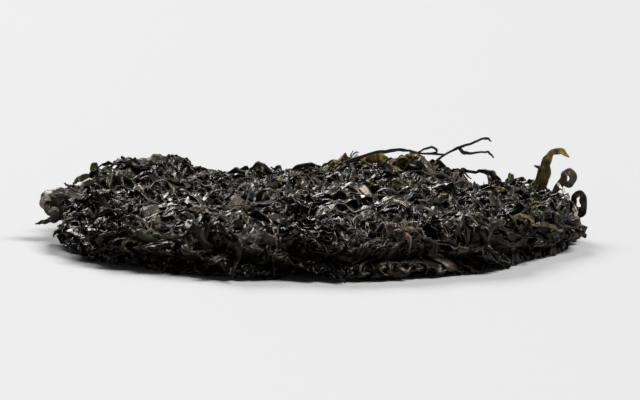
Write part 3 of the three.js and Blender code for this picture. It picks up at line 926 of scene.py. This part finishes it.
olive_draws = np.random.default_rng(OLIVE_SEED)
olive_laid = in_clumps(
    olive_draws, OLIVE_CLUMPS, least=0.5,
    heading=(-0.9, 0.9), bend=(-2.0, 2.0), wander=(0.4, 1.0), curl_pitch=(8, 16), length=(8, 20),
    width=(1.2, 3.6), tip=(0, 0), ripple=(0.2, 0.7), crinkle=(0.2, 0.6), pleats=(0.6, 1.6),
    fold=(0.6, 1.4), twist=(0.8, 2.2), skew=(0.6, 1.7),
)
olive_finish = laver_finish(
    "olive_laver",
    {0.1: (0.01, 0.0075, 0.004), 0.4: (0.032, 0.0245, 0.009),
     0.7: (0.105, 0.079, 0.021), 0.95: (0.33, 0.25, 0.085)},
    roughness=(0.25, 0.5), wrinkle_depth=0.3, mottling=1.2,
)
olive_kinds = [ruled_clump_fronds(), olive_laid]
olive_sheets = shrivelled_together(olive_draws, olive_kinds, OLIVE_GRID)
olive_tints = olive_draws.beta(TINT_RISE, 1.9, len(olive_sheets))
green_finish = laver_finish(
    "green_laver",
    {0.1: (0.008, 0.0085, 0.0045), 0.4: (0.025, 0.027, 0.0115),
     0.7: (0.082, 0.088, 0.034), 0.95: (0.27, 0.285, 0.12)},
    roughness=(0.25, 0.5), wrinkle_depth=0.3, mottling=1.2,
)
olive_and_green(("olive_fronds", "green_fronds"), olive_sheets, olive_tints, FROND_THICKNESS)

# The fronds that stand clear.
# A few blades dried in the air above the mat: two curled into rings and a hooked olive one at the right, a
# forked stalk at the back, a crumpled frond and a wisp at the left. Each is rooted in the mat at its first
# point.
STRAY_SEED = 61
STRAY_STEPS = 44
STRAY_STRIPS = 4
STRAY_THICKNESS = 0.4
STALK_THICKNESS = 0.5
STRAY_DENT = 2.0  # from dent to dent
STRAY_RAG = 2.2  # from notch to notch in the edges
STRAY_KINKS = 4.0
TOWARDS_VIEWER = (0, -1, 0.2)
UPPER_RING = (94.4, 5.0, 22.8)  # the middles of the rings and of the crumpled frond
LOWER_RING = (97.3, -6.5, 14.2)
CRUMPLED = (-98, -2, 13.6)
RING_TURN = {"broad_side": (-0.5, -0.9, 0.2), "splay": 0.35}
STALK = {"crinkle": 0.1}
MOTTLED = 0.3

stray_draws = np.random.default_rng(STRAY_SEED)


def curve_through(points, steps):
    """Even steps on a smooth curve through the given points."""
    points = np.asarray(points, float)
    ends = np.concatenate([[2 * points[0] - points[1]], points, [2 * points[-1] - points[-2]]])
    at = np.linspace(0, len(points) - 1, steps + 1)
    span = np.minimum(at.astype(int), len(points) - 2)
    t = (at - span)[:, None]
    p0, p1, p2, p3 = (ends[span + n] for n in range(4))
    cubic = -p0 + 3 * p1 - 3 * p2 + p3
    square = 2 * p0 - 5 * p1 + 4 * p2 - p3
    return p1 + ((p2 - p0) * t + square * t**2 + cubic * t**3) / 2


def blade(tints, widths, points, broad_side=TOWARDS_VIEWER, centre=None, splay=1.0, cupped=0.3,
          crinkle=0.25, kink=0.15):
    """A dented sheet along a curve, as wide as the widths say from root to tip, and its tint or tints. Its
    broad side is turned one way and, if it curls round a centre, away from that as well."""
    path = curve_through(points, STRAY_STEPS)
    path = path + kink * waver(stray_draws, 3, STRAY_STEPS, STRAY_KINKS).T
    onward = np.gradient(path, axis=0)
    way = np.cumsum(np.linalg.norm(onward, axis=1))[:, None]
    onward /= np.linalg.norm(onward, axis=1, keepdims=True)
    turned = np.broadcast_to(broad_side, path.shape)
    if centre is not None:
        outward = path - centre
        turned = turned + splay * outward / np.linalg.norm(outward, axis=1, keepdims=True)
    aside = np.cross(onward, turned)
    aside /= np.linalg.norm(aside, axis=1, keepdims=True) + 1e-9
    facing = np.cross(aside, onward)
    along = np.linspace(0, 1, STRAY_STEPS + 1)
    width = np.interp(along, np.linspace(0, 1, len(widths)), widths)[:, None]
    across = np.linspace(-0.5, 0.5, STRAY_STRIPS + 1)
    way = way + stray_draws.uniform(0, 100 * DENT_PITCH) + 0 * across
    ragged = 1 + RAG_DEPTH * crumple(way, np.sign(across) + 0 * way, STRAY_RAG, RAG_SEED)
    out = width * across * ragged
    dished = width * cupped * (across**2 - 0.1) + crinkle * crumple(way, out, STRAY_DENT, DENT_SEED)
    return path[:, None] + aside[:, None] * out[..., None] + facing[:, None] * dished[..., None], tints


def ring_bend(centre, half_width, half_height, end):
    """Points on an upright oval, from its left over the top to an angle."""
    x, y, z = centre
    angles = np.linspace(math.pi, end, 9)
    return [(x + half_width * math.cos(a), y, z + half_height * math.sin(a)) for a in angles]


def gathered(strays):
    """The sheets of several strays and their tints, step by step from root to tip."""
    sheets, tints = zip(*strays.values())
    roots, tips = np.transpose([np.broadcast_to(tint, 2) for tint in tints])
    return np.stack(sheets), np.linspace(roots, tips, STRAY_STEPS + 1, axis=1)


loose_sheets, loose_tints = gathered({
    "upper ring": blade(
        0.9, (1.8, 2.0, 2.4, 3.0, 2.8, 2.6, 2.6, 2.8, 3.0, 3.2, 3.0, 2.4),
        [(86, 6, 12), (89, 6, 16.5), (91, 5.5, 20)] + ring_bend(UPPER_RING, 1.8, 2.5, -2.6),
        centre=UPPER_RING, **RING_TURN,
    ),
    "lower ring": blade(
        0.3, (1.8, 2.0, 2.4, 2.6, 2.6, 2.4, 2.6, 2.6, 2.4, 2.2, 2.0),
        [(89, -5, 9), (93, -5.6, 10.5)] + ring_bend(LOWER_RING, 2.0, 4.3, -2.2),
        centre=LOWER_RING, **RING_TURN,
    ),
    "hanging ribbon": blade(1.25, (0.8, 1.0, 1.3, 1.2, 1.5, 1.2), [
        (90.8, 4.5, 20.6), (91.2, -1, 19.6), (92.6, -7, 18.2), (93.2, -12, 16), (95, -16, 13.4),
        (95.6, -19, 10.6),
    ], kink=0.35),
    "crumpled frond, top": blade((0.1, 0.9), (3.0, 5.0, 5.8, 5.4, 4.2, 2.0), [
        (-88, 1, 14), (-93.5, 0, 17.2), (-98.5, -1, 18.3), (-102.8, -2, 17.4), (-104.9, -3, 15),
        (-104.2, -3.8, 12.4),
    ], broad_side=(0, -0.7, 0.1), centre=CRUMPLED, cupped=-0.5, crinkle=0.9),
    "crumpled frond, middle": blade((0.2, 0.9), (4.0, 6.0, 7.0, 6.4, 3.0), [
        (-88, -1, 12), (-93, -2, 13.6), (-98, -2.4, 14), (-102, -2.2, 13.8), (-105, -2.6, 13.8),
    ], cupped=0.4, crinkle=1.1),
    "crumpled frond, foot": blade((0.1, 0.8), (3.4, 4.6, 4.4, 3.2, 1.4), [
        (-88, -2, 9.5), (-93.5, -3.2, 9.8), (-98.5, -4.2, 9.9), (-102.2, -4.6, 11.4), (-104, -4.4, 13.4),
    ], broad_side=(0, -0.9, 0.2), centre=CRUMPLED, cupped=-0.4, crinkle=0.8),
    # The crumpled frond's pale edge and fleck take the cream shade: partly the frond's own colour, partly a
    # painted highlight
    "pale edge with painted highlight": blade(1.35, (0.8, 1.8, 2.2, 0.6), [
        (-104.6, -4.4, 12.6), (-104.9, -4.6, 14.6), (-103.4, -4.8, 16.4), (-101.6, -4.6, 15.8),
    ]),
    "pale fleck with painted highlight": blade(1.4, (0.6, 1.5, 0.4), [
        (-102, -5.2, 11.2), (-100.6, -5.4, 12.4), (-99.2, -5.2, 12.6),
    ]),
    "wisp": blade(0.1, (3.4, 2.6, 1.8, 0.3), [
        (-92, -4, 10), (-98.5, -5, 9), (-103.4, -6, 7.8), (-107.4, -6, 6.6),
    ]),
    "thin spike": blade(0.7, (2.0, 1.2, 0.8, 0.4), [
        (-89, 9, 15), (-93.5, 9, 17), (-95.8, 9, 18.8), (-97.6, 9, 20.4),
    ]),
    "back spike": blade(0.25, (5.0, 3.4, 0.4), [
        (-73, 53, 18), (-77, 54.5, 21.5), (-78.9, 55, 25),
    ]),
    "rolled frond": blade(0.35, (3.0, 5.0, 6.0, 5.0, 2.0), [
        (-79, 46, 17), (-74, 51, 21.6), (-67, 56, 23), (-60, 60, 21.6), (-55, 63, 17),
    ], broad_side=(0, -0.6, 0.8), cupped=-0.5, crinkle=1.2, kink=0.4),
    "small bump": blade(0.4, (2.0, 3.4, 1.4), [
        (-30, 83, 14), (-24, 84, 16.4), (-18, 83, 13),
    ], crinkle=0.5),
    "bridge": blade(0.05, (3.0, 2.0, 1.0, 1.9, 2.2), [
        (53, 76, 13), (57, 75, 16.4), (63, 73.5, 16.2), (68.5, 71, 16.4), (72, 67, 13.5),
    ], crinkle=0.8, kink=0.35),
    "bridge end": blade(0.05, (1.4, 2.8, 2.6, 2.0), [
        (66.5, 71, 17), (68.6, 70, 15.2), (69.6, 68, 12.5), (72, 64, 10),
    ], crinkle=0.9, kink=0.4),
    "left edge": blade(0.0, (1.8, 2.6, 2.4, 1.0), [
        (-56, 73, 15.4), (-50, 76, 16.4), (-43, 79, 15.2), (-37, 81, 13),
    ], crinkle=0.5),
    "back edge": blade(0.0, (1.4, 2.6, 2.6, 1.2), [
        (-14, 83, 12.5), (-9, 84.5, 16.2), (-2, 85, 16.8), (5, 84, 14),
    ], crinkle=0.4),
})
frond_piece("loose_fronds", loose_sheets, loose_tints, dark_finish, STRAY_THICKNESS)

stalk_finish = laver_finish(
    "laver_stalk",
    {0.1: (0.006, 0.0055, 0.006), 0.7: (0.02, 0.017, 0.015)},
    roughness=(0.35, 0.6), wrinkle_depth=0.2,
)
stalk_sheets, stalk_tints = gathered({
    "forked stalk": blade(0.2, (1.1, 0.9, 0.9, 1.0, 0.8, 0.4), [
        (43, 80, 15), (50.4, 80, 22.2), (57, 80, 25.4), (62.6, 80.5, 27.4), (67.8, 81, 29),
        (69.7, 81, 27.6),
    ], **STALK),
    "lower fork": blade(0.2, (0.9, 1.3, 0.8, 0.8, 0.5), [
        (56.7, 80, 25.3), (58.8, 79.5, 23.2), (64.2, 79, 23.4), (68.2, 78.5, 23.6), (70.6, 78, 21.4),
    ], **STALK),
    "top strand": blade(0.3, (1.4, 1.2, 1.4, 1.0, 0.8, 0.8), [
        (8.6, 80, 18), (19, 80, 22.4), (26.9, 80, 23.8), (34.7, 80, 24.3), (39.8, 80, 23.2),
        (50.4, 80, 22.3),
    ], **STALK),
    "strand loop": blade(0.3, (0.7, 0.7, 0.9, 0.9, 0.8, 0.6), [
        (39.8, 80, 23.2), (42.4, 80, 24.6), (45, 80, 25.4), (47.3, 80, 24.6), (46.9, 80, 23.2),
        (43.7, 80, 22.8),
    ], **STALK),
})
frond_piece("stalks", stalk_sheets, stalk_tints, stalk_finish, STALK_THICKNESS)

clear_sheets, clear_tints = gathered({
    "hook": blade((0.55, 1.7), (2.6, 4.8, 5.4, 3.2, 2.2, 2.8, 2.4, 0.4), [
        (84, 21, 12), (84.2, 20.5, 17), (86.4, 20, 22.6), (87.2, 19.5, 27.4), (88.6, 19, 30),
        (90.7, 18.5, 31.2), (93, 18, 31.2), (95.6, 17.5, 29.2),
    ], cupped=0.4),
    "thorn": blade((0.3, 0.5), (1.8, 1.2, 0.2), [(86, 19.4, 24), (84, 19.4, 25), (82.4, 19.4, 25.6)]),
    "olive tip": blade((0.3, 0.7), (4.6, 4.8, 4.2, 1.6), [
        (-83, 36, 14), (-86.6, 36.5, 19), (-88, 36.5, 22), (-88.2, 36.5, 24.6),
    ]),
    "side tip": blade((0.3, 0.6), (2.8, 3.2, 2.6, 0.6), [
        (-85, 35, 16), (-89, 35.5, 18.8), (-93.6, 35.5, 18.6), (-96.4, 35, 16.6),
    ]),
    "rim arch": blade((0.6, 0.9), (0.8, 1.5, 1.8, 1.0), [
        (67, -60, 14), (70, -60.5, 17), (73, -60, 17.6), (76.5, -58, 15),
    ], broad_side=(0, -0.6, 0.8)),
    "rim streak": blade((0.2, 0.6), (0.8, 1.8, 1.6, 0.6), [
        (76, -55, 13.6), (80, -52, 13.4), (84, -48, 12.2), (87, -43, 9.5),
    ], broad_side=(0.4, -0.8, 0.5)),
    "low leaf": blade((0.4, 0.7), (1.4, 3.6, 3.8, 1.0), [
        (90, -9, 8), (92.6, -10.4, 10.4), (95.2, -10.8, 10), (97.6, -10.4, 7),
    ], broad_side=(0.3, -0.9, 0.4), crinkle=0.5),
    "bright bit": blade((1.0, 1.5), (1.4, 2.2, 0.9), [
        (-17.5, 5, 18.6), (-15.6, 5, 22), (-13.4, 5.4, 21.6),
    ], broad_side=(0.3, -0.7, 0.8)),
    "face leaf": blade((0.4, 1.2), (1.6, 2.6, 2.4, 0.8), [
        (63.6, -9, 16), (65.4, -9.3, 19), (67.6, -9, 20.4), (69.4, -8.6, 19.6),
    ]),
    "back tip": blade((0.7, 1.0), (2.4, 2.8, 2.0), [(74.5, 58, 13), (76, 58.4, 15.2), (76.4, 58.6, 17)]),
    "clump leaf": blade((0.6, 1.1), (3.0, 3.6, 2.2), [
        (33.5, 78, 15), (36, 78, 19.4), (37, 78, 22.8),
    ], crinkle=0.4),
    "mottled leaf": blade((0.5, 1.0), (2.4, 3.4, 3.0, 1.6), [
        (16, 79, 16), (20, 79, 20.2), (25, 79, 21.4), (28, 79, 19),
    ], crinkle=0.6),
    "left leaf": blade((0.7, 1.2), (2.4, 2.8, 1.6), [
        (3.6, 80, 14), (4.8, 80, 17.4), (7, 80, 19),
    ], crinkle=0.4),
})
clear_tints = clear_tints + MOTTLED * waver(stray_draws, len(clear_tints), STRAY_STEPS, 3.0)
olive_and_green(("olive_hook", "green_tips"), clear_sheets, clear_tints, STRAY_THICKNESS)

# The floor, the light and the camera.
# A plain pale floor under soft studio light: a broad key high on the right and another behind, both so far
# away that the floor is evenly lit, in a surround that is pale near the horizon and dim overhead.
FLOOR_RADIUS = 12.0
FLOOR_SIDES = 96
FLOOR_SHADE = 0.58
FLOOR_ROUGHNESS = 0.8
LIGHTS = {  # where each shines from, how far it spreads and how strong it is
    "key_light": ((0.7, -0.2, 1.05), math.radians(30), 3.4),
    "back_light": ((-0.35, 0.9, 0.8), math.radians(28), 2.2),
}
CAMERA_DISTANCE = 1.05
CAMERA_ELEVATION = math.radians(8)
CAMERA_LENS = 156
SENSOR_WIDTH = 36
LOOK_AT = Vector((0, 0, 0.015))
SURROUND = {0.06: (0.85, 0.85, 0.85), 0.2: (0.04, 0.04, 0.04)}  # height over the horizon: shade


def pale_floor():
    mesh = bpy.data.meshes.new("floor")
    angles = np.arange(FLOOR_SIDES) * FULL_TURN / FLOOR_SIDES
    edge = np.stack([np.cos(angles), np.sin(angles), np.zeros(FLOOR_SIDES)], axis=-1) * FLOOR_RADIUS
    mesh.from_pydata(edge, [], [list(range(FLOOR_SIDES))])
    paint = bpy.data.materials.new("pale_floor")
    paint.use_nodes = True
    surface = {"Base Color": (FLOOR_SHADE, FLOOR_SHADE, FLOOR_SHADE, 1), "Roughness": FLOOR_ROUGHNESS}
    feed(paint.node_tree.nodes["Principled BSDF"], surface)
    mesh.materials.append(paint)
    floor = bpy.data.objects.new("floor", mesh)
    bpy.context.scene.collection.objects.link(floor)
    return floor


def far_light(name, from_where, spread, strength):
    lamp = bpy.data.lights.new(name, "SUN")
    lamp.angle = spread
    lamp.energy = strength
    light = bpy.data.objects.new(name, lamp)
    light.location = from_where
    light.rotation_euler = (-Vector(from_where)).to_track_quat("-Z", "Y").to_euler()
    bpy.context.scene.collection.objects.link(light)


def pale_surround():
    world = bpy.data.worlds.new("pale_surround")
    world.use_nodes = True
    nodes = world.node_tree.nodes
    direction = nodes.new("ShaderNodeTexCoord").outputs["Generated"]
    parts = feed(nodes.new("ShaderNodeSeparateXYZ"), {"Vector": direction})
    feed(nodes["Background"], {"Color": graded(parts.outputs["Z"], SURROUND)})
    return world


pale_floor()
for light, settings in LIGHTS.items():
    far_light(light, *settings)
bpy.context.scene.world = pale_surround()

lens = bpy.data.cameras.new("camera")
lens.lens = CAMERA_LENS
lens.sensor_width = SENSOR_WIDTH
camera = bpy.data.objects.new("camera", lens)
away = Vector((0, -math.cos(CAMERA_ELEVATION), math.sin(CAMERA_ELEVATION)))
camera.location = LOOK_AT + away * CAMERA_DISTANCE
camera.rotation_euler = (-away).to_track_quat("-Z", "Y").to_euler()
bpy.context.scene.collection.objects.link(camera)
bpy.context.scene.camera = camera
bpy.context.scene.view_settings.view_transform = "Standard"
